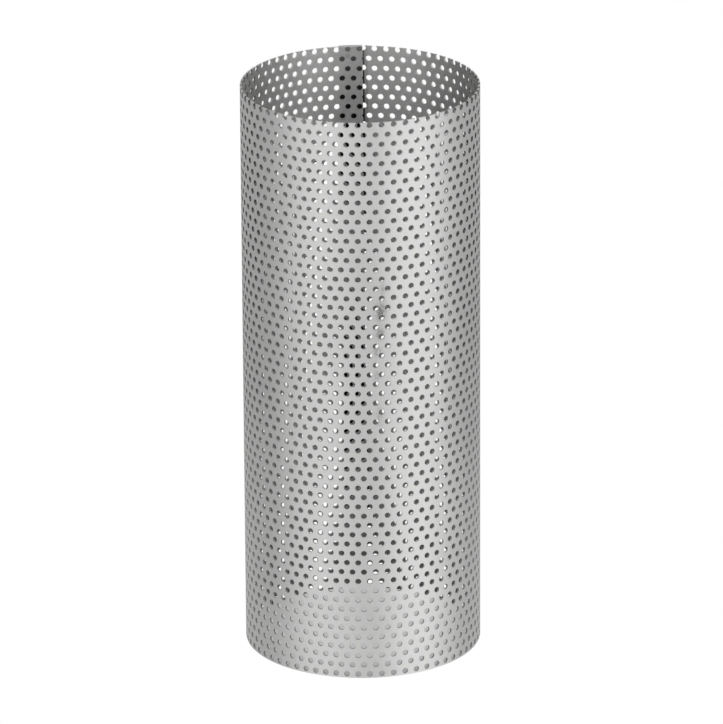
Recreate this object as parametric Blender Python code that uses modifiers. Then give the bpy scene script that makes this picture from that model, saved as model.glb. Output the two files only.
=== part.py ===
"""Open-ended cheese mould: a hoop rolled from one perforated stainless blank.

The blank is punched flat, one end is stepped outwards, and the blank is
rolled until its ends overlap.  A vertical line of spot welds holds the
overlap.  Both ends of the hoop are open; it stands on its lower cut edge.

Frame: origin at the centre of the lower edge, +Z up the hoop's axis, the lap
seam at the back (+Y).  Everything is in metres.

A point of the flat blank is given by three distances: along the blank from
the inner free edge, outward from the middle of the sheet, and z up.
"""

import math

import bmesh
import bpy
from mathutils import Vector
from mathutils.geometry import delaunay_2d_cdt

MM = 0.001

# ---------------------------------------------------------------- the hoop
HEIGHT = 305.0 * MM            # blank width, becomes the hoop's height
SHEET = 1.0 * MM               # sheet thickness
OUTER_DIAMETER = 123.4 * MM    # over the single layer
MID_RADIUS = (OUTER_DIAMETER - SHEET) / 2
CIRCUMFERENCE = 2 * math.pi * MID_RADIUS
SHARP_ANGLE = math.radians(35)  # edges steeper than this are shaded sharp

# ---------------------------------------------------------------- lap seam
LAP_WIDTH = 12.6 * MM          # how far the outer end runs over the inner end
LAP_GAP = 0.2 * MM             # air left between the two layers
LAP_RISE = SHEET + LAP_GAP     # the outer end is joggled outwards by this much
LAP_STEPS = 4                  # facets across each layer of the lap
JOGGLE_LENGTH = 2.8 * MM       # arc over which the sheet steps out to the lap
JOGGLE_END = 0.5 * MM          # the step is over this far before the inner free edge
JOGGLE_START = CIRCUMFERENCE - JOGGLE_END - JOGGLE_LENGTH
JOGGLE_STEPS = 4               # facets down the step
EDGE_OFFSET = 1.8 * MM         # the inner free edge stands this far to +X

# ------------------------------------------------------ the punched pattern
# The real sheet has round holes on a 60 degree stagger, long and short rows
# alternating.  They set the open area and the places of the welds.
FINE_HOLE = 3.0 * MM           # diameter
FINE_PITCH = 6.0 * MM
FINE_ROW_PITCH = 5.196 * MM
FINE_BOTTOM = 2.3 * MM         # lowest row's centre above the lower edge
FINE_HOLE_COUNT = 30 * 65 + 29 * 64    # long rows, then short rows
OPEN_AREA = FINE_HOLE_COUNT * math.pi * (FINE_HOLE / 2) ** 2

# The solid carries larger hexagonal openings at four times the pitch.  They
# keep the stagger and the total open area.
GROUP_PITCH = 4 * FINE_PITCH
GROUP_ROW_PITCH = GROUP_PITCH * math.sqrt(3) / 2
GROUP_ROWS = 14
GROUP_COLUMNS = 15
GROUP_COUNT = GROUP_ROWS * GROUP_COLUMNS
GROUP_MARGIN = 10.0 * MM       # from the lap to the first column's centres
GROUP_FIRST = LAP_WIDTH + GROUP_MARGIN
GROUP_CORNER_RADIUS = math.sqrt(OPEN_AREA / GROUP_COUNT / (1.5 * math.sqrt(3)))
PATTERN_STEPS = 44             # facets along each rim, over the open pattern

# --------------------------------------------------------------- spot welds
WELD_COUNT = 12
WELD_DIAMETER = 3.0 * MM
WELD_CLEARANCE = 0.3 * MM      # between a weld and its hole in the sheet
WELD_FIRST_ROW = 2             # row of fine holes, counted from zero
WELD_ROW_STEP = 5              # rows of fine holes from weld to weld
WELD_ALONG = 7.9 * MM          # line of welds, from the inner free edge
WELD_LEAN = 0.0017             # distance along the blank per distance up
WELD_DROP = 0.35 * MM          # the rows of holes sag a little at the lap
WELD_SIDES = 12
WELD_RECESS = 0.06 * MM        # flat weld ends lie this far below the sheet faces

# ------------------------------------------------------------- flat meshing
MERGE_DISTANCE = 1e-7          # points closer than this are joined
HOLE_TOLERANCE = 1.001         # widens a hole's radius when its faces are found


# ----------------------------------------------------------------- helpers
def joggle(along):
    """Outward step of the sheet, eased in and out over JOGGLE_LENGTH."""
    progress = min(max((along - JOGGLE_START) / JOGGLE_LENGTH, 0.0), 1.0)
    return LAP_RISE * progress * progress * (3 - 2 * progress)


def roll_angle(along):
    """Angle around the hoop, from +Y towards -X."""
    return (along - EDGE_OFFSET) / MID_RADIUS


def roll(along, outward, z):
    """Place a point of the flat blank on the hoop."""
    angle = roll_angle(along)
    radius = MID_RADIUS + joggle(along) + outward
    return Vector((-radius * math.sin(angle), radius * math.cos(angle), z))


def evenly(start, length, steps):
    """Evenly spaced places from start, both ends included."""
    return [start + length * i / steps for i in range(steps + 1)]


def polygon(centre_along, centre_z, radius, sides):
    """Corners of a regular polygon, the first half a side above the axis."""
    angles = [math.pi / sides + 2 * math.pi * i / sides for i in range(sides)]
    return [(centre_along + radius * math.cos(angle),
             centre_z + radius * math.sin(angle)) for angle in angles]


def metal(name, colour, roughness):
    mat = bpy.data.materials.new(name)
    mat.use_nodes = True
    bsdf = mat.node_tree.nodes["Principled BSDF"]
    bsdf.inputs["Base Color"].default_value = (*colour, 1.0)
    bsdf.inputs["Roughness"].default_value = roughness
    bsdf.inputs["Metallic"].default_value = 1.0
    mat.diffuse_color = (*colour, 1.0)
    return mat


def add_piece(collection, root, mesh, mat):
    """Shade a finished mesh and add it as an object of the same name."""
    mesh.materials.append(mat)
    mesh.shade_smooth()
    mesh.set_sharp_from_angle(angle=SHARP_ANGLE)
    piece = bpy.data.objects.new(mesh.name, mesh)
    collection.objects.link(piece)
    piece.parent = root
    return piece


# ------------------------------------------------------- openings and welds
def weld_place(index):
    """Distance along and height of a weld, on the land between three fine holes."""
    row = WELD_FIRST_ROW + WELD_ROW_STEP * index
    # an even row has one of the three holes, an odd row has two
    thirds = 2 if row % 2 == 0 else 1
    z = FINE_BOTTOM + row * FINE_ROW_PITCH + thirds * FINE_ROW_PITCH / 3 - WELD_DROP
    return WELD_ALONG + WELD_LEAN * (z - HEIGHT / 2), z


def openings():
    """Every hole of the blank, as (along, z, corner radius, sides)."""
    holes = []
    for row in range(GROUP_ROWS):
        z = HEIGHT / 2 + (row - (GROUP_ROWS - 1) / 2) * GROUP_ROW_PITCH
        stagger = 0.5 * (row % 2)
        for column in range(GROUP_COLUMNS):
            along = GROUP_FIRST + (column + stagger) * GROUP_PITCH
            holes.append((along, z, GROUP_CORNER_RADIUS, 6))

    # each weld passes through both layers of the lap
    radius = WELD_DIAMETER / 2 + WELD_CLEARANCE
    for index in range(WELD_COUNT):
        inner_along, z = weld_place(index)
        for along in (inner_along, CIRCUMFERENCE + inner_along):
            holes.append((along, z, radius, WELD_SIDES))
    return holes


# --------------------------------------------------------------- the blank
def rim_stations():
    """Places along both rims: inner lap, pattern, joggle, outer lap."""
    return (evenly(0.0, LAP_WIDTH, LAP_STEPS)
            + evenly(LAP_WIDTH, JOGGLE_START - LAP_WIDTH, PATTERN_STEPS)[1:]
            + evenly(JOGGLE_START, JOGGLE_LENGTH, JOGGLE_STEPS)[1:]
            + evenly(CIRCUMFERENCE, LAP_WIDTH, LAP_STEPS))


def blank_lines(holes):
    """Points and edges of the blank's outline, fold lines and holes."""
    points, edges = [], []

    def add_loop(loop):
        first = len(points)
        points.extend(Vector(point) for point in loop)
        edges.extend((first + i, first + (i + 1) % len(loop))
                     for i in range(len(loop)))

    stations = rim_stations()
    add_loop([(along, 0.0) for along in stations]
             + [(along, HEIGHT) for along in reversed(stations)])

    # rim-to-rim lines across the laps and the step keep their facets upright
    count = len(stations)
    pattern_end = LAP_STEPS + PATTERN_STEPS
    for index in range(1, count - 1):
        if index <= LAP_STEPS or index >= pattern_end:
            edges.append((index, 2 * count - 1 - index))

    for hole in holes:
        add_loop(polygon(*hole))
    return points, edges


def in_a_hole(corners, holes):
    """True if one hole's circle holds all the corners of a face."""
    return any(all((corner[0] - along) ** 2 + (corner[1] - z) ** 2
                   < (HOLE_TOLERANCE * radius) ** 2 for corner in corners)
               for along, z, radius, _ in holes)


def flat_blank():
    """The punched blank as an open flat surface: x = along, z = up."""
    holes = openings()
    points, edges = blank_lines(holes)
    corners, _, faces, *_ = delaunay_2d_cdt(points, edges, [], 0, MERGE_DISTANCE)

    surface = bmesh.new()
    vertices = [surface.verts.new((corner[0], 0.0, corner[1])) for corner in corners]
    for face in faces:
        if not in_a_hole([corners[i] for i in face], holes):
            surface.faces.new([vertices[i] for i in face])
    loose = [vertex for vertex in surface.verts if not vertex.link_faces]
    bmesh.ops.delete(surface, geom=loose, context="VERTS")
    bmesh.ops.recalc_face_normals(surface, faces=surface.faces)

    mesh = bpy.data.meshes.new("blank")
    surface.to_mesh(mesh)
    surface.free()
    return mesh


def thickened_blank(collection):
    """The flat blank as a solid: y = outward."""
    flat = bpy.data.objects.new("blank", flat_blank())
    collection.objects.link(flat)
    thickness = flat.modifiers.new("thickness", "SOLIDIFY")
    thickness.thickness = SHEET
    thickness.offset = 0.0
    thickness.use_rim = True
    bpy.context.view_layer.update()
    depsgraph = bpy.context.evaluated_depsgraph_get()
    mesh = bpy.data.meshes.new_from_object(flat.evaluated_get(depsgraph))
    bpy.data.objects.remove(flat)
    return mesh


# ------------------------------------------------------------------ pieces
def perforated_shell(collection, root, mat):
    """The thickened blank, rolled into the hoop."""
    mesh = thickened_blank(collection)
    mesh.name = "perforated_shell"
    for vertex in mesh.vertices:
        vertex.co = roll(*vertex.co)

    # rolling warps the flat faces, so they are split into triangles
    solid = bmesh.new()
    solid.from_mesh(mesh)
    bmesh.ops.triangulate(solid, faces=solid.faces)
    bmesh.ops.recalc_face_normals(solid, faces=solid.faces)
    solid.to_mesh(mesh)
    solid.free()
    add_piece(collection, root, mesh, mat)


def spot_weld(collection, root, mat, index):
    """One weld: a flat-ended slug through both layers, its axis radial."""
    mesh = bpy.data.meshes.new(f"spot_weld_{index + 1:02d}")
    slug = bmesh.new()
    bmesh.ops.create_cone(slug, cap_ends=True, segments=WELD_SIDES,
                          radius1=WELD_DIAMETER / 2, radius2=WELD_DIAMETER / 2,
                          depth=LAP_RISE + SHEET - 2 * WELD_RECESS)
    slug.to_mesh(mesh)
    slug.free()

    along, z = weld_place(index)
    weld = add_piece(collection, root, mesh, mat)
    weld.location = roll(along, LAP_RISE / 2, z)
    weld.rotation_euler = (math.pi / 2, 0.0, math.pi + roll_angle(along))


def main():
    for obj in list(bpy.data.objects):
        bpy.data.objects.remove(obj)
    collection = bpy.data.collections.new("cheese_mold")
    bpy.context.scene.collection.children.link(collection)
    root = bpy.data.objects.new("cheese_mold_root", None)
    collection.objects.link(root)

    steel = metal("brushed_stainless", colour=(0.60, 0.60, 0.59), roughness=0.32)
    weld_metal = metal("weld_metal", colour=(0.42, 0.41, 0.40), roughness=0.45)

    perforated_shell(collection, root, steel)
    for index in range(WELD_COUNT):
        spot_weld(collection, root, weld_metal, index)


main()
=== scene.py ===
"""A hoop of perforated stainless sheet, open at both ends and standing upright.

The hoop's axis is the world's Z.  The front faces -Y; the lapped seam is at the
back, +Y, closed by a column of spot welds.  The sheet is drawn as a flat blank
(u along it, z up from its lower edge), then rolled up: u starts at the back and
runs by -X to the front and back by +X, and the end of the blank laps outside
its start.  Metres, except where a name or comment says millimetres.
"""
import math

import bmesh
import bpy
import numpy as np
from mathutils import Matrix, Vector
from mathutils.geometry import delaunay_2d_cdt


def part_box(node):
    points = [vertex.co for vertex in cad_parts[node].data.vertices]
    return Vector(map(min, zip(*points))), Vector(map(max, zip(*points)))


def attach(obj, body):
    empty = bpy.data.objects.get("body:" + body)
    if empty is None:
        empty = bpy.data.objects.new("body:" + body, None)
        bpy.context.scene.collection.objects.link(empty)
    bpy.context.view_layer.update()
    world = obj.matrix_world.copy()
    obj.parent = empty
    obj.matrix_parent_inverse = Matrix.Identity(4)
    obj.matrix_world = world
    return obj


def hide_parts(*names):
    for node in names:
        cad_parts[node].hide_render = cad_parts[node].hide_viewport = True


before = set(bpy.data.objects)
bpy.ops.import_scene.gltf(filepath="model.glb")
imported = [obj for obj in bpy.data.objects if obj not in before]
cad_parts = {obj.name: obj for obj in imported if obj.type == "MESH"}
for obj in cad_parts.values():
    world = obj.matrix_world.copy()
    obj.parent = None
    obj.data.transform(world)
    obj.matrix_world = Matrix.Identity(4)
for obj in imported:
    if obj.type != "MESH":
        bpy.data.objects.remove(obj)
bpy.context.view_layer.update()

MM = 1000                                     # millimetres in a metre

# ------------------------------------------------------------------- the hoop
LOW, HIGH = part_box("perforated_shell")
BASE = LOW.z
HEIGHT = HIGH.z - LOW.z
SHEET = 0.001                                 # thickness
R_OUT = (HIGH.x - LOW.x) / 2                  # over the single layer
R_MID = R_OUT - SHEET / 2
TURN = 2 * math.pi * R_MID                    # developed length of one turn
LAP = 0.0123
LENGTH = TURN + LAP                           # the blank, laid flat
RISE = HIGH.y - R_OUT                         # height of the outer layer's step
JOGGLE = 0.0028                               # arc of that step
JOGGLE_END = 0.0005                           # the step is over this far before one turn
JOGGLE_START = TURN - JOGGLE_END - JOGGLE
EDGE = 0.00208                                # the inner free edge, from the back to +X
SKEW = 0.0044                                 # shift along the arc per metre of height

# -------------------------------------------------------- the punched pattern
HOLE_R = 0.001535                             # to the corners of a 12-sided hole
SIDES = 12
FEW_SIDES = 10                                # for the first columns, up to FEW_UNTIL
FEW_UNTIL = 0.0245
MARGIN = TURN + 0.0003                        # solid from here to the end
COLUMNS = 64
PITCH_U = TURN / 64.29
PITCH_Z = 0.005196
ROWS = 59
FIRST_U = 0.0021                              # first column of the even rows
FIRST_Z = 0.0023                              # lowest row above the lower edge

# how the holes stray from that grid
SQUEEZE = 0.9979                              # scale of u about half a turn
SHIFT = -0.00073                              # along u, everywhere
TILT = 0.00084                                # rise in z along u
SWELL = 0.0024                                # along u, most at the front
DRIFT, DRIFT_AT, DRIFT_WIDTH = 0.0028, 0.0047, 0.0338     # back along u, by the front
# near both ends the columns swing aside towards the foot: place, amount
SLACKS = [(0.0, 0.0013), (TURN, -0.0010)]
SLACK_WIDTH = 0.025
SAG_FROM, SAG_TO = 0.195, 0.265               # downward wander grows between these heights
MOUTH_FADE = 0.012                            # and all upright wander dies out at the mouth

TURN_MM, HEIGHT_MM, R_MID_MM = TURN * MM, HEIGHT * MM, R_MID * MM
# local wander, in mm: place along the blank, width, shift along, shift up
WANDER = [
    (62.0, 24.0, -1.0, 0.30),
    (TURN_MM - 56.0, 26.0, -1.15, 0.12),
    (TURN_MM - 4.0, 12.0, 0.6, 0.0),
    (0.0, 14.0, 0.0, -0.62),
    (TURN_MM, 14.0, 0.0, -0.62),
]
INNER_MM = 1000.0                             # added to u on the inner side, in the UV map

# ------------------------------------------------------------- the spot welds
WELD_COUNT = 12
WELD_FIRST_ROW, WELD_ROW_STEP = 2, 5
WELD_ALONG = 0.0061                           # from the back, along the blank
WELD_LEAN = 0.0017                            # shift along the arc per metre of height
WELD_DROP = 0.00035
WELD_R = 0.00138                              # hole for the nugget, in both layers
MARK_R = 0.0019                               # the visible mark


def step_progress(u):
    return np.clip((u - JOGGLE_START) / JOGGLE, 0.0, 1.0)


def joggle(u):
    """How far outwards the sheet stands at u."""
    k = step_progress(u)
    return RISE * k * k * (3 - 2 * k)


def slope(u):
    """How steeply the sheet climbs outwards along the arc."""
    k = step_progress(u)
    return RISE * 6 * k * (1 - k) / JOGGLE


def turned(u, z):
    """Angle round the hoop, from the back, of a place on the flat blank."""
    return (u - EDGE + SKEW * (z - HEIGHT / 2)) / R_MID


def roll(u, offset, z):
    """Flat blank (u along, offset through the sheet, z up) to the rolled hoop."""
    angle = turned(u, z)
    radius = R_MID + joggle(u) + offset
    return np.stack([-radius * np.sin(angle), radius * np.cos(angle), BASE + z], axis=-1)


def punch(u, z):
    """Where the hole of grid place u, z really sits."""
    s = u - TURN / 2
    slack = (1 - z / HEIGHT) * sum(amount * math.exp(-((u - at) / SLACK_WIDTH) ** 2)
                                   for at, amount in SLACKS)
    more_u = more_z = 0.0
    for at, wide, along, up in WANDER:
        bell = math.exp(-((u * MM - at) / wide) ** 2) / MM
        more_u += along * bell
        sag = min(1.0, max(0.0, (z - SAG_FROM) / (SAG_TO - SAG_FROM))) if up < 0 else 1.0
        more_z += up * bell * sag
    more_z *= min(1.0, (HEIGHT - z) / MOUTH_FADE)
    return (TURN / 2 + s * SQUEEZE + SHIFT
            + SWELL * math.sin(u / R_MID / 2) ** 2
            - DRIFT * math.exp(-((s - DRIFT_AT) / DRIFT_WIDTH) ** 2) + slack + more_u,
            z + s * TILT + more_z)


def weld_place(i):
    """Place of a weld on the inner layer of the blank, between the holes."""
    row = WELD_FIRST_ROW + WELD_ROW_STEP * i
    z = FIRST_Z + row * PITCH_Z + (2 if row % 2 == 0 else 1) * PITCH_Z / 3 - WELD_DROP
    return WELD_ALONG + EDGE + (WELD_LEAN - SKEW) * (z - HEIGHT / 2), z


# ------------------------------------------------------------- the flat blank
SOLID = -1                                    # owner of a point that is on no hole
EDGE_SLIVER = 0.00015                         # holes cutting in less than this are left out
FIRST_NUDGE, FIRST_WEB = 0.00012, 0.00008     # first even column: back, but clear of the edge
MARGIN_BITE = 0.0002                          # holes this little over the margin stay whole
MOUTH_BITE = 0.00004                          # likewise at the mouth
MOUTH_WEB = 0.0001                            # thinnest metal left above a whole hole
MARGIN_GAP = 0.0001                           # closest a hole's corner comes to the margin
LAP_CORNER = TURN + 0.0072                    # extra corner on both rims of the lap
BOTTOM_END, BOTTOM_POINTS = TURN + 0.0019, 97
END_POINTS = 15                               # up the blank's outer end
STEP_COLUMNS = 5                              # guide points across the joggle
GUIDE_CLEARANCE = 0.00018                     # from guide point to hole
LAP_GUIDES = (TURN + 0.0045, TURN + 0.0105)   # columns of guide points on the lap
LAP_GUIDE_ROWS = 31
WELD_CLEARANCE = 0.0032                       # from those, in height, to a weld's centre


class Drawing:
    """Points, the hole each belongs to, and the edges between them."""

    def __init__(self):
        self.points, self.owner, self.edges = [], [], []

    def add(self, place, hole=SOLID):
        self.points.append(Vector(place))
        self.owner.append(hole)
        return len(self.points) - 1

    def ring(self, places_and_holes):
        ids = [self.add(place, hole) for place, hole in places_and_holes]
        self.edges.extend(zip(ids, ids[1:] + ids[:1]))


def owned(places, hole=SOLID):
    return [(place, hole) for place in places]


def on_circle(u, z, angle, radius=HOLE_R):
    return u + radius * math.cos(angle), z + radius * math.sin(angle)


def half_chord(offset):
    return math.sqrt(HOLE_R ** 2 - offset ** 2)


def before_margin(u, z, degrees):
    """The corners of a hole that lie short of the solid margin."""
    corners = [on_circle(u, z, math.radians(a)) for a in degrees]
    return [corner for corner in corners if corner[0] < MARGIN - MARGIN_GAP]


def punched_holes():
    """Holes (u, z, number): whole, cut by the mouth, by the inner free edge and
    by the solid margin; then the next free number."""
    whole, at_mouth, at_edge, at_margin = [], [], [], []
    number = 0
    for row in range(ROWS):
        z = FIRST_Z + row * PITCH_Z
        odd = row % 2
        first = FIRST_U + odd * PITCH_U / 2
        for k in range(-1 if odd else 0, COLUMNS if odd else COLUMNS + 1):
            cu, cz = punch(first + k * PITCH_U, z)
            if k == -1 and cu < EDGE_SLIVER - HOLE_R:
                continue
            if k == 0 and not odd:
                cu = max(cu - FIRST_NUDGE, HOLE_R + FIRST_WEB)
            if k == -1:
                at_edge.append((cu, cz, number))
            elif cz + HOLE_R > HEIGHT + MOUTH_BITE and k < COLUMNS:
                at_mouth.append((cu, cz, number))
            elif k == COLUMNS and MARGIN - cu <= HOLE_R - MARGIN_BITE:
                at_margin.append((cu, cz, number))
            else:
                whole.append((cu, min(cz, HEIGHT - HOLE_R - MOUTH_WEB), number))
            number += 1
    return whole, at_mouth, at_edge, at_margin, number


def corner_notch(u, z):
    """Where a hole is cut by both the margin and the mouth."""
    top = math.asin((HEIGHT - z) / HOLE_R)
    return [(MARGIN, HEIGHT), (MARGIN, z - half_chord(MARGIN - u)),
            *before_margin(u, z, range(-75, -196, -30)),
            (u - HOLE_R * math.cos(top), HEIGHT)]


def mouth_notch(u, z):
    """Clockwise round the underside of a hole cut by the mouth."""
    top = math.asin((HEIGHT - z) / HOLE_R)
    half = HOLE_R * math.cos(top)
    gap = 4                                   # degrees kept clear at each end
    start = math.floor((math.degrees(top) - gap) / 30) * 30
    stop = -180 - math.degrees(top) + gap
    return [(u + half, HEIGHT),
            *[on_circle(u, z, math.radians(a)) for a in np.arange(start, stop, -30)],
            (u - half, HEIGHT)]


def edge_notch(u, z):
    """From top to bottom round a hole cut by the inner free edge."""
    half = half_chord(u)
    opening = math.degrees(math.atan2(half, -u))
    return [(0.0, z + half),
            *[on_circle(u, z, math.radians(opening * k)) for k in (0.33, 0.0, -0.33)],
            (0.0, z - half)]


def blank_outline(at_mouth, at_edge, at_margin):
    """Anticlockwise from the lower corner at u = 0."""
    outline = owned((u, 0.0) for u in np.linspace(0.0, BOTTOM_END, BOTTOM_POINTS))
    outline += owned([(LAP_CORNER, 0.0), (LENGTH, 0.0)])
    outline += owned((LENGTH, z) for z in np.linspace(0, HEIGHT, END_POINTS)[1:-1])
    outline += owned([(LENGTH, HEIGHT), (LAP_CORNER, HEIGHT)])
    for u, z, hole in at_margin:
        if z + HOLE_R > HEIGHT:
            outline += owned(corner_notch(u, z), hole)
    for u, z, hole in sorted(at_mouth, reverse=True):
        outline += owned(mouth_notch(u, z), hole)
    outline += owned([(0.0, HEIGHT)])
    for u, z, hole in sorted(at_edge, key=lambda notch: -notch[1]):
        outline += owned(edge_notch(u, z), hole)
    return outline


def add_guides(drawing, holes):
    """Loose points that steady the curve of the step and of the lap."""
    near = [(u, z) for u, z, _ in holes if u > TURN - 0.007]
    for u in np.linspace(JOGGLE_START, TURN - JOGGLE_END, STEP_COLUMNS):
        for z in np.arange(0.0007, HEIGHT - 0.0005, PITCH_Z / 2):
            if all((u - cu) ** 2 + (z - cz) ** 2 > (HOLE_R + GUIDE_CLEARANCE) ** 2
                   for cu, cz in near):
                drawing.add((u, z))
    for z in np.linspace(0, HEIGHT, LAP_GUIDE_ROWS)[1:-1]:
        for u in LAP_GUIDES:
            if all(abs(z - weld_place(i)[1]) > WELD_CLEARANCE for i in range(WELD_COUNT)):
                drawing.add((u, z))


def triangulate(drawing):
    """Flat points, the hole each is on, and anticlockwise triangles of metal."""
    verts, _, faces, origins, _, _ = delaunay_2d_cdt(drawing.points, drawing.edges, [], 0, 1e-9)
    hole = np.array([drawing.owner[o[0]] if o else SOLID for o in origins])
    flat = np.array([(v[0], v[1]) for v in verts])
    tri = np.array([face[:] for face in faces])
    a, b, c = hole[tri].T
    tri = tri[~((a >= 0) & (a == b) & (b == c))]      # drop what fills the holes
    p, q, r = flat[tri[:, 0]], flat[tri[:, 1]], flat[tri[:, 2]]
    area = ((q[:, 0] - p[:, 0]) * (r[:, 1] - p[:, 1])
            - (q[:, 1] - p[:, 1]) * (r[:, 0] - p[:, 0]))
    solid = np.abs(area) > 1e-13
    tri, area = tri[solid], area[solid]
    tri[area < 0] = tri[area < 0][:, ::-1]
    return flat, hole, tri


def flat_sheet():
    """The triangulated blank, and the centre of every hole by its number."""
    drawing = Drawing()
    whole, at_mouth, at_edge, at_margin, number = punched_holes()
    for u, z, hole in whole:
        sides = SIDES if u > FEW_UNTIL else FEW_SIDES
        # the same area whatever the number of sides
        radius = HOLE_R * math.sqrt(6 / (sides * math.sin(math.tau / sides)))
        drawing.ring(owned((on_circle(u, z, math.pi * (2 * i + 1) / sides, radius)
                            for i in range(sides)), hole))
    # the last column of the outer layer: open only up to the solid margin
    for u, z, hole in at_margin:
        if z + HOLE_R <= HEIGHT:
            half = half_chord(MARGIN - u)
            drawing.ring(owned([(MARGIN, z + half),
                                *before_margin(u, z, range(75, 286, 30)),
                                (MARGIN, z - half)], hole))
    # holes for the weld nuggets, through both layers
    for i in range(WELD_COUNT):
        along, z = weld_place(i)
        for u in (along, TURN + along):
            drawing.ring(owned((on_circle(u, z, math.radians(15 + 30 * k), WELD_R)
                                for k in range(SIDES)), number))
            whole.append((u, z, number))
            number += 1
    drawing.ring(blank_outline(at_mouth, at_edge, at_margin))
    add_guides(drawing, whole + at_margin)

    centres = {hole: (u, z) for u, z, hole in whole + at_mouth + at_edge}
    # a half-open hole's walls face a point nearer its open part
    centres.update({hole: (u - 0.0007, z) for u, z, hole in at_margin})
    return (*triangulate(drawing), centres)


# ----------------------------------------------------------- the rolled sheet
def cut_edges(tri, count):
    """The directed edges that only one triangle uses."""
    edges = np.concatenate([tri[:, [0, 1]], tri[:, [1, 2]], tri[:, [2, 0]]])
    key = np.sort(edges, axis=1)
    _, inverse, uses = np.unique(key[:, 0].astype(np.int64) * count + key[:, 1],
                                 return_inverse=True, return_counts=True)
    return edges[uses[inverse.reshape(-1)] == 1]


def arc_tangent(u, z):
    angle = turned(u, z)
    return np.stack([-np.cos(angle), -np.sin(angle), np.zeros_like(angle)], 1)


def outward_normal(u, z):
    angle = turned(u, z)
    lean = np.arctan(slope(u))[:, None]
    radial = np.stack([-np.sin(angle), np.cos(angle), np.zeros_like(angle)], 1)
    return radial * np.cos(lean) - arc_tangent(u, z) * np.sin(lean)


def wall_normals(flat, hole, cut, wall_ends, centres):
    """Towards the centre inside a hole; square to a straight cut, off the metal."""
    on_hole = np.where(hole[cut[:, 0]] == hole[cut[:, 1]], hole[cut[:, 0]], SOLID)
    centre = np.array([centres.get(h, (0.0, 0.0)) for h in on_hole])
    run = flat[cut[:, 1]] - flat[cut[:, 0]]
    off_metal = np.stack([run[:, 1], -run[:, 0]], 1)
    place = flat[wall_ends]
    facing = np.where(on_hole[:, None, None] >= 0, centre[:, None] - place, off_metal[:, None])
    facing = facing / (np.sqrt((facing * facing).sum(-1)) + 1e-12)[:, :, None]
    du, dz = facing.reshape(-1, 2).T
    return (arc_tangent(*place.reshape(-1, 2).T) * du[:, None]
            + np.array([0, 0, 1.0]) * dz[:, None])


def wall_strips(count):
    """Bake layout of the walls: one small cell each, in lines across the top."""
    cells = 360
    lines = math.ceil(count / cells)
    column, line = np.arange(count) % cells, np.arange(count) // cells
    left, right = (column + 0.1) / cells, (column + 0.9) / cells
    low = 0.802 + 0.196 * (line + 0.1) / lines
    high = 0.802 + 0.196 * (line + 0.9) / lines
    return np.stack([np.stack([right, left, left, right], 1).ravel(),
                     np.stack([high, high, low, low], 1).ravel()], 1)


def add_uv(mesh, name, places):
    layer = mesh.uv_layers.new(name=name)
    layer.data.foreach_set("uv", places.astype(np.float32).ravel())


def build_shell():
    flat, hole, tri, centres = flat_sheet()
    count = len(flat)
    cut = cut_edges(tri, count)
    wall_ends = cut[:, [1, 0, 0, 1]]
    # the blank's point at every face corner, side by side
    outer, inner, walls = tri.ravel(), tri[:, ::-1].ravel(), wall_ends.ravel()

    verts = np.concatenate([roll(flat[:, 0], np.full(count, offset), flat[:, 1])
                            for offset in (SHEET / 2, -SHEET / 2)])
    loops = np.concatenate([outer, inner + count, (wall_ends + [0, 0, count, count]).ravel()])
    kinds = [2 * len(tri), len(cut)]          # faces of the sheet, walls of the cuts
    sizes = np.repeat([3, 4], kinds)
    starts = np.concatenate([[0], np.cumsum(sizes)[:-1]])
    mesh = bpy.data.meshes.new("perforated_sheet")
    mesh.vertices.add(len(verts))
    mesh.vertices.foreach_set("co", verts.astype(np.float32).ravel())
    mesh.loops.add(len(loops))
    mesh.loops.foreach_set("vertex_index", loops.astype(np.int32))
    mesh.polygons.add(len(sizes))
    mesh.polygons.foreach_set("loop_start", starts.astype(np.int32))
    mesh.polygons.foreach_set("loop_total", sizes.astype(np.int32))
    mesh.polygons.foreach_set("use_smooth", np.ones(len(sizes), bool))
    mesh.polygons.foreach_set("material_index", np.repeat([0, 1], kinds).astype(np.int32))
    mesh.update(calc_edges=True)

    # u and z in millimetres, for the materials
    inner_shift = (INNER_MM / MM, 0)
    add_uv(mesh, "sheet_mm",
           np.concatenate([flat[outer], flat[inner] + inner_shift, flat[walls]]) * MM)
    # a layout without overlaps, for baking: outer side, inner side, walls
    unit = flat / (LENGTH, HEIGHT)
    share = np.array([0.996, 0.394])
    add_uv(mesh, "OFBake", np.concatenate([(0.002, 0.002) + share * unit[outer],
                                           (0.002, 0.402) + share * unit[inner],
                                           wall_strips(len(cut))]))
    normals = np.concatenate([outward_normal(*flat[outer].T),
                              -outward_normal(*flat[inner].T),
                              wall_normals(flat, hole, cut, wall_ends, centres)])
    mesh.normals_split_custom_set(normals.astype(np.float32))
    return mesh


# --------------------------------------------------------------- shader graphs
class Signal:
    """An output socket that can be reckoned with like a number."""

    def __init__(self, graph, socket):
        self.graph, self.socket = graph, socket

    def __add__(self, other):
        return self.graph.math("ADD", self, other)

    def __radd__(self, other):
        return self.graph.math("ADD", other, self)

    def __sub__(self, other):
        return self.graph.math("SUBTRACT", self, other)

    def __rsub__(self, other):
        return self.graph.math("SUBTRACT", other, self)

    def __mul__(self, other):
        return self.graph.math("MULTIPLY", self, other)

    def __truediv__(self, other):
        return self.graph.math("DIVIDE", self, other)

    def swing(self, amount):
        """Noise about 0.5, turned into a change about nothing."""
        return (self - 0.5) * amount

    def fade(self, amount):
        """A factor: 1 where the signal is 0, less by amount where it is 1."""
        return 1.0 - self * amount

    def falloff(self):
        return self.graph.math("EXPONENT", self * -1.0)

    def bell(self, at, width):
        distance = (self - at) / width
        return (distance * distance).falloff()


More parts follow.
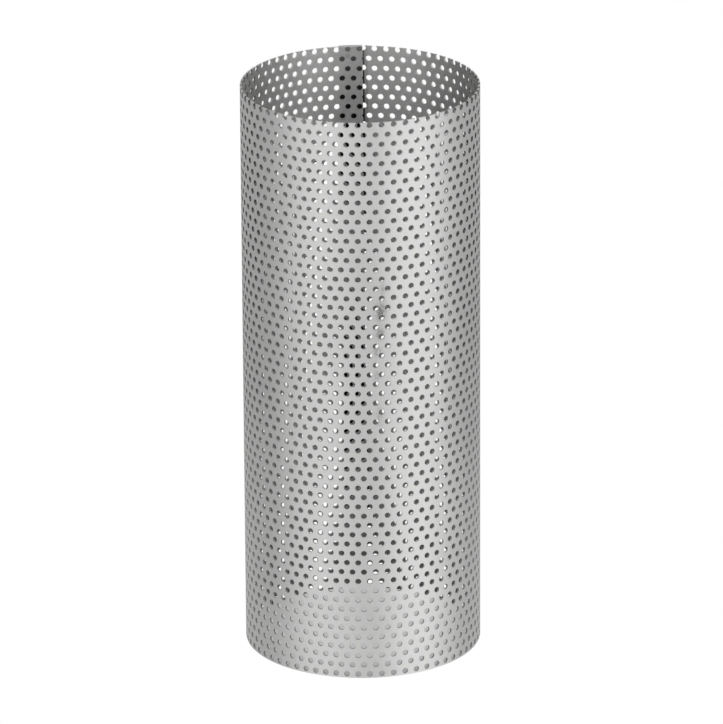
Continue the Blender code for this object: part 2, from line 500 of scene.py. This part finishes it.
class Graph:
    """Writes a node tree as expressions."""

    def __init__(self, tree):
        self.tree = tree
        self.x = 0

    def new(self, kind, **settings):
        node = self.tree.nodes.new(kind)
        self.x += 60
        node.location = (-2400 + self.x % 2200, 600 - 220 * (self.x // 2200))
        for key, value in settings.items():
            setattr(node, key, value)
        return node

    def put(self, socket, value):
        if isinstance(value, Signal):
            self.tree.links.new(value.socket, socket)
        else:
            socket.default_value = value

    def build(self, kind, inputs, output=0, **settings):
        """A node with its inputs, a dict by name or number; one output of it."""
        node = self.new(kind, **settings)
        for key, value in inputs.items():
            self.put(node.inputs[key], value)
        return Signal(self, node.outputs[output])

    def math(self, operation, a, b=0.0, clamp=False):
        return self.build("ShaderNodeMath", {0: a, 1: b, 2: 0.0},
                          operation=operation, use_clamp=clamp)

    def mapped(self, value, span, to=(0.0, 1.0), kind="SMOOTHSTEP"):
        """Value carried from one span to another, and held beyond its ends."""
        return self.build("ShaderNodeMapRange",
                          {"Value": value, "From Min": span[0], "From Max": span[1],
                           "To Min": to[0], "To Max": to[1]}, "Result",
                          interpolation_type=kind)

    def noise(self, place, per_mm, shift=(0, 0), detail=3.0, rough=0.6, distortion=0.0):
        """Noise over a map in millimetres, finer or coarser each way."""
        mapping = self.build("ShaderNodeMapping",
                             {"Vector": place, "Scale": (*per_mm, 1.0), "Location": (*shift, 0)})
        return self.build("ShaderNodeTexNoise",
                          {"Vector": mapping, "Scale": 1.0, "Detail": detail,
                           "Roughness": rough, "Distortion": distortion},
                          noise_dimensions="3D")

    def mix(self, factor, a, b, blend="MIX"):
        return self.build("ShaderNodeMix", {0: factor, 6: a, 7: b}, 2,
                          data_type="RGBA", blend_type=blend)

    def split(self, vector):
        node = self.new("ShaderNodeSeparateXYZ")
        self.put(node.inputs[0], vector)
        return [Signal(self, socket) for socket in node.outputs]

    def colour(self, channels):
        return self.build("ShaderNodeCombineColor", dict(enumerate(channels)))

    def surface(self, base, metallic, roughness, height, bump):
        """Fill in the principled shader; bump is the strength of the height."""
        normal = self.build("ShaderNodeBump",
                            {"Strength": bump, "Distance": 0.001, "Height": height})
        shader = self.tree.nodes["Principled BSDF"]
        for name, value in (("Base Color", base), ("Metallic", metallic),
                            ("Roughness", roughness), ("Normal", normal)):
            self.put(shader.inputs[name], value)


def new_material(name):
    mat = bpy.data.materials.new(name)
    mat.use_nodes = True
    return mat, Graph(mat.node_tree)


# ------------------------------------------------------------------ materials
STEEL = (0.640, 0.640, 0.634)
HUE_SWING = (0.00, 0.03, -0.12)               # the mottle's swing of red, green and blue
CUT_STEEL = (0.73, 0.73, 0.722)
# across from the front's middle towards +X, up, half-width, half-height (mm), strength
SMUDGES = [
    (9.6, 203, 2.6, 5.0, 1.0), (9.2, 191, 2.4, 3.4, 0.8), (7.9, 181, 2.2, 2.4, 0.6),
    (10.6, 215, 1.3, 3.4, 0.5), (7.7, 168, 1.5, 2.8, 0.5), (9.0, 146, 1.8, 5.0, 0.35),
    (-52.2, 11.2, 0.8, 0.8, 1.3), (43.0, 2.0, 0.7, 0.7, 1.0),
]
# painted light and shade in the bore, brighter or duller here: u from the seam, half-width (mm),
# amount
BORE_PAINTED_LIGHT = [(28.0, 16.0, 0.20), (-25.0, 14.0, 0.08), (72.0, 16.0, -0.14), (-76.0, 26.0, -0.34)]
# the electrode mark, from centre to rim: share of the radius, colour
MARK_RINGS = [
    (0.0, (0.36, 0.355, 0.35)), (0.45, (0.44, 0.435, 0.43)), (0.70, (0.50, 0.47, 0.42)),
    (0.84, (0.43, 0.44, 0.47)), (1.0, (0.58, 0.58, 0.575)),
]
MARK_OUTER = 10                               # added to the UV's v on the outer half


def sheet_coordinates(n):
    """The map itself, u and z in mm, and 1 on the inner side."""
    uv = n.build("ShaderNodeUVMap", {}, uv_map="sheet_mm")
    raw_u, z, _ = n.split(uv)
    inner = n.math("GREATER_THAN", raw_u, INNER_MM * 0.7)
    return uv, raw_u - inner * INNER_MM, z, inner


def sideways(n, u):
    """0 at the hoop's front and back, 1 at its two sides."""
    side = n.math("SINE", (u - EDGE * MM) / R_MID_MM)
    return side * side


def hole_distance(n, u, z):
    """Distance in mm to the nearest hole's centre: punch() undone."""
    more_u = more_z = 0.0
    for at, wide, along, up in WANDER:
        bell = u.bell(at, wide)
        more_u = more_u + bell * along
        sag = n.mapped(z, span=(SAG_FROM * MM, SAG_TO * MM), kind="LINEAR") if up < 0 else 1.0
        more_z = more_z + bell * up * sag
    more_z = more_z * n.math("DIVIDE", HEIGHT_MM - z, MOUTH_FADE * MM, clamp=True)
    half = TURN_MM / 2
    s = u - half
    turn = n.math("SINE", u / (R_MID_MM * 2))
    swell = turn * turn * (SWELL * MM)
    # the drift follows the punched place, so its centre is moved by half of it
    drift = (s + DRIFT * MM / 2).bell(DRIFT_AT * MM, DRIFT_WIDTH * MM) * (DRIFT * MM)
    lean = more_u
    for at, amount in SLACKS:
        lean = lean + u.bell(at * MM, SLACK_WIDTH * MM) * ((HEIGHT_MM - z) * (amount / HEIGHT))
    s = (s - swell - lean - SHIFT * MM + drift) / SQUEEZE
    z = z - more_z - s * TILT
    u = s + half

    def to_nearest(value, first, pitch):
        steps = (value - first) / pitch
        return (steps - n.math("ROUND", steps)) * pitch

    found = []
    for odd in (0, 1):
        du = to_nearest(u, (FIRST_U + odd * PITCH_U / 2) * MM, PITCH_U * MM)
        dz = to_nearest(z, (FIRST_Z + odd * PITCH_Z) * MM, 2 * PITCH_Z * MM)
        found.append(n.math("SQRT", du * du + dz * dz))
    return n.math("MINIMUM", *found)


def smudges(n, uv, u, z, inner):
    """Light handling marks, mostly a broken upright line on the front."""
    front = (math.pi * R_MID + EDGE) * MM
    total = 0.0
    for across, up, wide, tall, strength in SMUDGES:
        du = (u - (front + across)) / wide
        dz = (z - up) / tall
        total = total + (du * du + dz * dz).falloff() * strength
    blot = n.mapped(n.noise(uv, per_mm=(0.75, 0.55), shift=(2.3, 9.1), rough=0.65),
                    span=(0.30, 0.56))
    return n.math("MULTIPLY", total * (1.0 - inner), blot, clamp=True)


def painted_light_tone(n, u, z, inner):
    """Painted light and shade: broad changes of brightness, apart for the outside and the bore.
    """
    side = sideways(n, u)
    # outside: painted light, brighter low down on the two sides, and a little towards the mouth
    painted_floor_glow = side * side * n.mapped(z, span=(30.0, 190.0), to=(0.24, 0.0))
    painted_outside_light = n.mapped(z, span=(150.0, 285.0), to=(1.0, 1.05)) + painted_floor_glow
    # bore: painted light and shade, darkest at mid height, brightest at the mouth, a little
    # lighter again low down
    bore = (n.mapped(z, span=(232.0, 302.0), to=(0.74, 1.16))
            * n.mapped(z, span=(100.0, 190.0), to=(1.12, 1.0)))
    # signed distance from the seam
    far = u - n.math("GREATER_THAN", u, TURN_MM / 2) * TURN_MM
    for centre, wide, amount in BORE_PAINTED_LIGHT:
        bore = bore * (1.0 + far.bell(centre, wide) * amount)
    return inner * bore + (1.0 - inner) * painted_outside_light


def steel_sheet():
    """Cold-rolled stainless: neutral, semi-matt, a faint vertical grain,
    rolled-over hole rims, light handling marks, painted light and shade."""
    mat, n = new_material("brushed_stainless_sheet")
    uv, u, z, inner = sheet_coordinates(n)
    solid_end = n.math("GREATER_THAN", u, MARGIN * MM)
    rim = (n.mapped(hole_distance(n, u, z), span=(1.5, 2.0), to=(1.0, 0.0))
           * (1.0 - solid_end))

    grain = n.noise(uv, per_mm=(9.0, 0.22))
    fine = n.noise(uv, per_mm=(28.0, 1.1), detail=2.0, rough=0.55)
    cloud = n.noise(uv, per_mm=(0.05, 0.035), shift=(3.0, 1.0), rough=0.55, distortion=0.6)
    speck = n.noise(uv, per_mm=(1.9, 1.7), shift=(7.0, 5.0), detail=4.0, rough=0.65)
    mottle = n.noise(uv, per_mm=(0.62, 0.55), shift=(5.0, 15.0))
    smudge = smudges(n, uv, u, z, inner)
    # scratches run where a slow noise crosses its middle, in cloudy patches
    seed = n.noise(uv, per_mm=(0.11, 0.016), shift=(11.0, 2.0), detail=0.0, rough=0.5)
    scratch = n.mapped(n.math("ABSOLUTE", seed - 0.5), span=(0.0, 0.0022), to=(1.0, 0.0))
    scratch = scratch * n.mapped(cloud, span=(0.52, 0.62))

    tone = 1.0 + (grain.swing(amount=0.10) + cloud.swing(amount=0.10)
                  + speck.swing(amount=0.10) + mottle.swing(amount=0.14))
    tone = tone * rim.fade(amount=0.06) * smudge.fade(amount=0.74)
    # painted light and shade over the outside and the bore
    tone = tone * painted_light_tone(n, u, z, inner)
    # painted shade on the outer layer's hidden face inside the lap, with a little
    # painted light over the top edge that fades downwards
    light_at_top, decay_per_mm, darkest = 0.50, -0.13, 0.985
    depth = n.math("MAXIMUM", HEIGHT_MM + 0.5 - z, 0.0)
    reach = n.math("EXPONENT", depth * decay_per_mm) * light_at_top
    hidden = inner * n.mapped(u, span=(TURN_MM - 1.2, TURN_MM - 0.6))
    dark = hidden * (darkest - reach)
    # a painted highlight: a bright line in the bore along the free edge
    painted_edge_highlight = inner * n.mapped(u, span=(0.15, 0.45), to=(0.14, 0.0))
    tone = tone * (1.0 + painted_edge_highlight) * (1.0 - dark)

    # a faint mottle, warm to cool
    hue = n.noise(uv, per_mm=(0.33, 0.30), shift=(21.0, 4.0), rough=0.7) - 0.5
    base = n.colour(n.math("MULTIPLY", tone, level + hue * swing, clamp=True)
                    for level, swing in zip(STEEL, HUE_SWING))
    # plain roughness, then what each layer adds to it
    roughness = (0.36 + cloud.swing(amount=0.10) + fine.swing(amount=0.12)
                 + smudge * 0.22 - scratch * 0.05)
    # height of each layer, as a share of the bump's distance
    height = (rim * -0.045 + grain * 0.0022 + fine * 0.0010
              + cloud * 0.050 + scratch * -0.003)
    n.surface(base, metallic=1.0, roughness=roughness, height=height, bump=0.6)
    return mat


def cut_edge():
    """Sheared metal: the walls of the holes and the blank's cut edges."""
    mat, n = new_material("brushed_stainless_cut_edge")
    uv, u, z, _ = sheet_coordinates(n)
    tear = n.noise(uv, per_mm=(3.5, 3.5))
    tone = n.mapped(tear, span=(0.3, 0.7), to=(0.86, 1.06), kind="LINEAR")
    # the two rims of the hoop are duller than the walls of the holes
    edge = n.math("MAXIMUM", n.mapped(z, span=(HEIGHT_MM - 0.2, HEIGHT_MM - 0.05)),
                  n.mapped(z, span=(0.05, 0.2), to=(1.0, 0.0)))
    rim = edge * (n.mapped(u, span=(15.0, 40.0))
                  * n.mapped(u, span=(TURN_MM - 30, TURN_MM - 5), to=(1.0, 0.0)))
    tone = tone * rim.fade(amount=0.30)
    # painted shade: the walls of the holes at the two sides are darker, least so at the foot
    side = (n.mapped(sideways(n, u), span=(0.30, 0.80))
            * n.mapped(z, span=(20.0, 280.0), to=(0.22, 0.82)))
    tone = tone * (1.0 - side * (1.0 - edge))
    # the sheared, torn metal scatters more light than the rolled face
    n.surface(n.colour(tone * level for level in CUT_STEEL), metallic=0.85,
              roughness=n.mapped(tear, span=(0.3, 0.7), to=(0.34, 0.52), kind="LINEAR"),
              height=tear * 0.02, bump=0.4)
    return mat


def weld_metal():
    """An electrode mark: dull dished centre, a faint straw and blue heat ring."""
    mat, n = new_material("weld_metal_mark")
    coord = n.build("ShaderNodeUVMap", {}, uv_map="mark_mm")
    radius, level, _ = n.split(coord)
    grit = n.noise(coord, per_mm=(4.0, 4.0), detail=4.0, rough=0.65)
    ramp = n.new("ShaderNodeValToRGB")
    elements = ramp.color_ramp.elements
    elements[0].position = 0.0
    elements[1].position = 1.0
    for position, _ in MARK_RINGS[1:-1]:
        elements.new(position)
    for element, (position, colour) in zip(elements, MARK_RINGS):
        element.position = position
        element.color = (*colour, 1.0)
    n.put(ramp.inputs[0], radius / (MARK_R * MM))
    outside = n.math("GREATER_THAN", level, MARK_OUTER / 2)
    dirt = n.mapped(grit, span=(0.3, 0.7), to=(0.25, 0.75), kind="LINEAR")
    mark = n.mix(0.25, Signal(n, ramp.outputs[0]), dirt, blend="MULTIPLY")
    rougher = n.mapped(grit, span=(0.3, 0.7), to=(-0.02, 0.2), kind="LINEAR")
    n.surface(n.mix(outside, STEEL + (1.0,), mark), metallic=1.0,
              roughness=0.36 + outside * rougher,
              height=grit * (outside * 0.03), bump=0.5)
    return mat


# ---------------------------------------------------------------- weld marks
NUGGET_HALF = (RISE + SHEET) / 2
LIP = 0.00004                                 # stands over the outer sheet
DISH = 0.00010                                # sunk in the middle
FLUSH = 0.00001                               # the inner end, barely proud of the sheet
NUGGET_STEPS = 32
# half-section from the outer end to the inner: radius, height
NUGGET_PROFILE = [
    (0.0, NUGGET_HALF - DISH), (0.0006, NUGGET_HALF - DISH),
    (0.00105, NUGGET_HALF - DISH * 0.75), (0.00135, NUGGET_HALF - DISH * 0.1),
    (0.00155, NUGGET_HALF + LIP * 0.8), (0.00172, NUGGET_HALF + LIP),
    (0.00186, NUGGET_HALF + LIP * 0.5), (MARK_R, NUGGET_HALF - 0.00001),
    (0.00165, NUGGET_HALF - 0.00006), (0.00134, NUGGET_HALF - 0.0003),
    (0.00134, -NUGGET_HALF + 0.0003), (0.00138, -NUGGET_HALF + 0.00004),
    (0.00142, -NUGGET_HALF + 0.000005), (0.00141, -NUGGET_HALF - FLUSH * 0.6),
    (0.00138, -NUGGET_HALF - FLUSH), (0.0, -NUGGET_HALF - FLUSH),
]


def turn_profile(bm):
    """Spin the half-section round its axis."""
    rings = []
    for radius, height in NUGGET_PROFILE:
        angles = [2 * math.pi * k / NUGGET_STEPS
                  for k in range(1 if radius == 0.0 else NUGGET_STEPS)]
        rings.append([bm.verts.new((radius * math.cos(a), radius * math.sin(a), height))
                      for a in angles])
    for a, b in zip(rings[:-1], rings[1:]):
        for k in range(NUGGET_STEPS):
            j = (k + 1) % NUGGET_STEPS
            if len(a) == 1:
                bm.faces.new((a[0], b[k], b[j]))
            elif len(b) == 1:
                bm.faces.new((a[k], b[0], a[j]))
            else:
                bm.faces.new((a[k], b[k], b[j], a[j]))
    bmesh.ops.recalc_face_normals(bm, faces=bm.faces)


def weld_matrix(index):
    """On the lap, midway through both layers, its axis pointing outwards."""
    along, z = weld_place(index)
    angle = turned(along, z)
    normal = Vector((-math.sin(angle), math.cos(angle), 0))
    tangent = Vector((-math.cos(angle), -math.sin(angle), 0))
    matrix = Matrix((tangent, normal.cross(tangent), normal)).transposed().to_4x4()
    matrix.translation = normal * (R_MID + RISE / 2) + Vector((0, 0, BASE + z))
    return matrix


def link_object(name, data):
    obj = bpy.data.objects.new(name, data)
    bpy.context.scene.collection.objects.link(obj)
    return obj


def weld_nugget(index, mat):
    """One turned nugget: dished and lipped outside, dressed flush inside."""
    bm = bmesh.new()
    turn_profile(bm)
    # radius in mm against a measure of the angle
    uv = bm.loops.layers.uv.new("mark_mm")
    for face in bm.faces:
        face.smooth = True
        for loop in face.loops:
            x, y, z = loop.vert.co
            loop[uv].uv = (math.hypot(x, y) * MM,
                           math.atan2(y, x) * 1.2 + (MARK_OUTER if z > 0 else 0))
    mesh = bpy.data.meshes.new(f"weld_mark_{index + 1:02d}")
    bm.to_mesh(mesh)
    bm.free()
    mesh.materials.append(mat)
    mesh.transform(weld_matrix(index))
    obj = link_object(mesh.name, mesh)
    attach(obj, "root")
    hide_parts(f"spot_weld_{index + 1:02d}")


# -------------------------------------------------------------------- objects
def make_hoop():
    sheet_materials = [steel_sheet(), cut_edge()]
    mesh = build_shell()
    for mat in sheet_materials:
        mesh.materials.append(mat)
    shell = link_object("perforated_sheet", mesh)
    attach(shell, "root")
    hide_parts("perforated_shell")

    weld_material = weld_metal()
    for i in range(WELD_COUNT):
        weld_nugget(i, weld_material)


# ---------------------------------------------------------------------- stage
SURROUND = 0.60                               # strength mirrored where no light is
# soft lights: azimuth from the front towards +X, reach to -X, reach to +X
# (degrees), strength
LIGHTS = [(-42, 34, 50, 0.62), (51, 31, 43, 0.82)]
BANK_POWER = 2.5                              # how squarely a light falls off
DIFFUSE_LIGHT = 1.7
BACKDROP = 1.0

FLOOR_SIZE = 6.0
FLOOR_DROP = 0.00005                          # below the hoop's foot
FLOOR_INSIDE = 0.48                           # painted shade on the floor seen through the holes
FLOOR_BY_WALL = 0.35
SHADE = 0.10
SHADE_DROP = 0.00002
SHADE_INSET = 0.0002


def make_world():
    """A white sweep to the eye; to the metal, a soft studio: a pale surround,
    two broad soft lights in front, left and right, and a gap between them."""
    world = bpy.data.worlds.new("studio")
    bpy.context.scene.world = world
    world.use_nodes = True
    world.node_tree.nodes.clear()
    n = Graph(world.node_tree)
    x, y, z = n.split(n.build("ShaderNodeTexCoord", {}, "Generated"))
    azimuth = n.math("ARCTAN2", x, y * -1.0) * (180 / math.pi)
    total = SURROUND
    for centre, left, right, amount in LIGHTS:
        away = azimuth - centre
        away = n.math("MAXIMUM", away / right, away / -left)
        total = total + n.math("POWER", away, BANK_POWER).falloff() * amount
    total = total * n.mapped(z, span=(-0.2, 0.9), to=(1.0, 1.25))

    path = n.new("ShaderNodeLightPath")
    mirrored, lit, seen = [n.build("ShaderNodeBackground", {"Strength": strength})
                           for strength in (total, DIFFUSE_LIGHT, BACKDROP)]
    metal = n.build("ShaderNodeMixShader",
                    {0: Signal(n, path.outputs["Is Glossy Ray"]), 1: lit, 2: mirrored})
    shown = n.build("ShaderNodeMixShader",
                    {0: Signal(n, path.outputs["Is Camera Ray"]), 1: metal, 2: seen})
    n.put(n.new("ShaderNodeOutputWorld").inputs[0], shown)


def glowing(name, strength):
    """A material of bare emission; strength is worked out on its graph."""
    mat, n = new_material(name)
    n.tree.nodes.clear()
    glow = n.build("ShaderNodeEmission", {"Strength": strength(n)})
    n.put(n.new("ShaderNodeOutputMaterial").inputs[0], glow)
    return mat


def floor_strength(n):
    """White outside the hoop; painted shade within, more so by the front wall and the
    sides than at the back."""
    place = n.build("ShaderNodeTexCoord", {}, "Object")
    away = n.build("ShaderNodeVectorMath", {0: place}, "Value", operation="LENGTH")
    behind = n.build("ShaderNodeVectorMath", {0: place, 1: (0.0, 0.018, 0.0)}, "Value",
                     operation="DISTANCE")
    within = n.mapped(behind, span=(R_MID - 0.012, R_MID + 0.015),
                      to=(FLOOR_INSIDE, FLOOR_BY_WALL))
    beyond = n.mapped(away, span=(R_MID - 0.0004, R_MID + 0.0002))
    return within + beyond * (1.0 - within)


def stage_piece(name, material, drop, draw):
    """A flat piece just below the hoop's foot, drawn by a bmesh operator."""
    mesh = bpy.data.meshes.new(name)
    bm = bmesh.new()
    draw(bm)
    bm.to_mesh(mesh)
    bm.free()
    mesh.materials.append(material)
    obj = link_object(name, mesh)
    obj.location.z = BASE - drop
    return obj


def make_floor():
    floor = stage_piece(
        "floor", glowing("pale_floor", floor_strength), FLOOR_DROP,
        lambda bm: bmesh.ops.create_grid(bm, x_segments=2, y_segments=2, size=FLOOR_SIZE))
    floor.visible_glossy = False


def make_shade():
    """What the bore mirrors through its open foot: a dark disc that only
    reflections see."""
    shade = stage_piece(
        "shade", glowing("shade", lambda n: SHADE), SHADE_DROP,
        lambda bm: bmesh.ops.create_circle(bm, cap_ends=True, segments=96,
                                           radius=R_OUT - SHADE_INSET))
    shade.visible_camera = False
    shade.visible_diffuse = False
    shade.visible_shadow = False


# --------------------------------------------------------------------- camera
# in outer diameters of the hoop: sideways, distance, height aimed at
CAM_SIDE, CAM_DISTANCE, CAM_AIM = -0.00045, 32.0, 1.23394
CAM_ELEVATION, CAM_ROLL = 0.36592, -0.00587   # radians
LENS, SENSOR = 377.418232, 36.0               # mm


def make_camera():
    data = bpy.data.cameras.new("camera")
    camera = link_object("camera", data)
    cos_up, sin_up = math.cos(CAM_ELEVATION), math.sin(CAM_ELEVATION)
    position = Vector((CAM_SIDE, -CAM_DISTANCE * cos_up,
                       CAM_AIM + CAM_DISTANCE * sin_up)) * (2 * R_OUT)
    forward = Vector((0.0, cos_up, -sin_up))
    right = Vector((1.0, 0.0, 0.0))
    up = right.cross(forward)
    cos_roll, sin_roll = math.cos(CAM_ROLL), math.sin(CAM_ROLL)
    axes = (right * cos_roll + up * sin_roll, -right * sin_roll + up * cos_roll, -forward)
    matrix = Matrix(axes).transposed().to_4x4()
    matrix.translation = position + Vector((0, 0, BASE))
    camera.matrix_world = matrix
    data.sensor_fit = "AUTO"
    data.sensor_width = SENSOR
    data.lens = LENS
    data.clip_start = 0.05
    data.clip_end = 100.0
    scene = bpy.context.scene
    scene.camera = camera
    scene.view_settings.view_transform = "Standard"
    scene.view_settings.look = "None"
    scene.view_settings.exposure = 0.0


make_hoop()
make_world()
make_floor()
make_shade()
make_camera()
